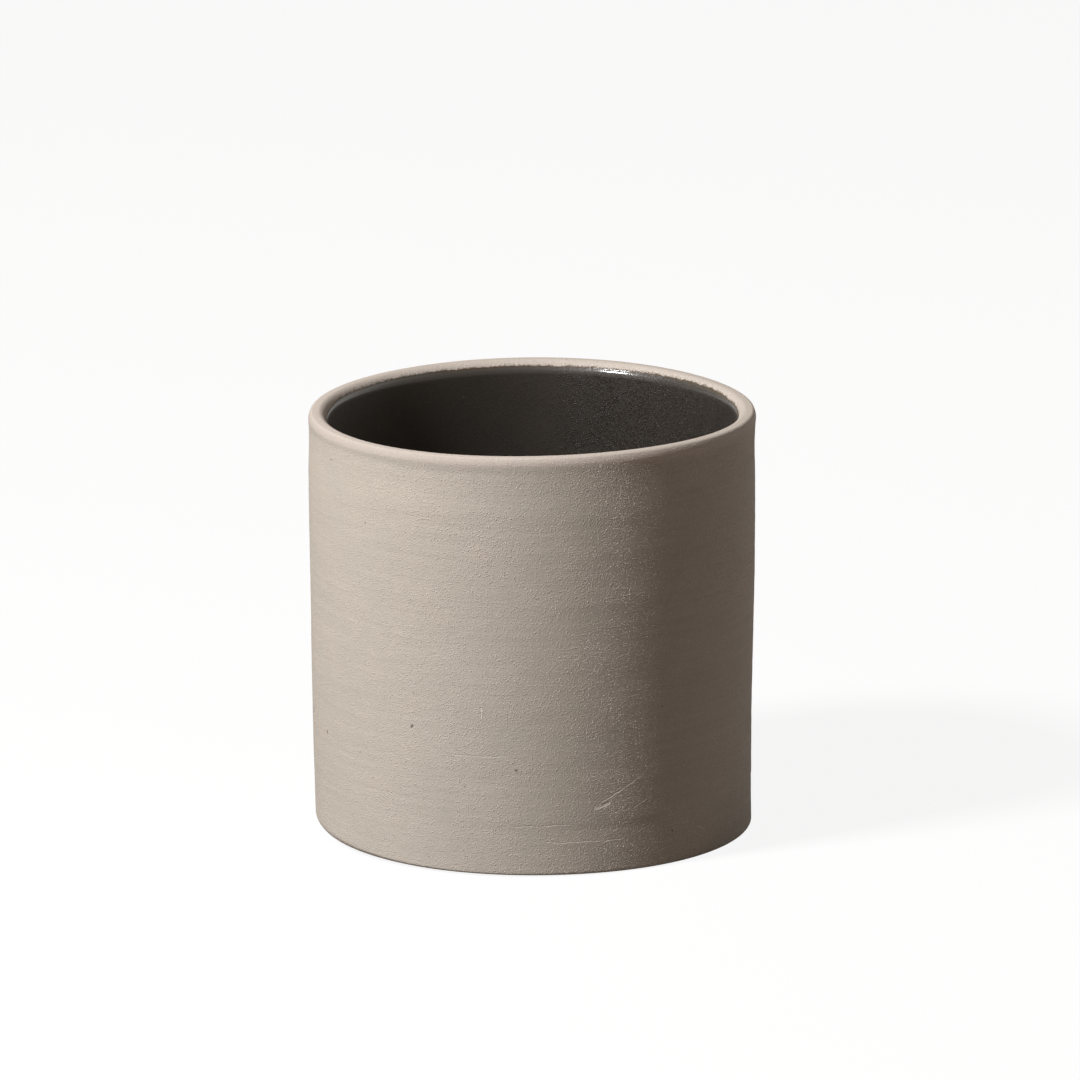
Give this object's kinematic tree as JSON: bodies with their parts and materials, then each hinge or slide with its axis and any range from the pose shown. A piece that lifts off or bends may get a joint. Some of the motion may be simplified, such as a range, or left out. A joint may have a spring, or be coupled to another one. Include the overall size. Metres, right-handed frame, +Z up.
{
  "type": "clay cup",
  "caption": "Straight-walled handleless clay cup, bare outside, glazed inside, with a rounded lip and a turned foot ring to stand on.",
  "frame": {"origin": "centre of the foot ring, on the surface that the cup stands on", "axes": "+Z up along the cup's axis of revolution; the cup is round, so +X and +Y are alike, and +Y points away from the picture's camera"},
  "size_m": [0.08, 0.08, 0.0764],
  "materials": {
    "bare_clay": "matte",
    "dark_glaze": "satin"
  },
  "bodies": {
    "root": {"clay_body": "bare_clay", "glaze_lining": "dark_glaze"}
  },
  "joints": []
}
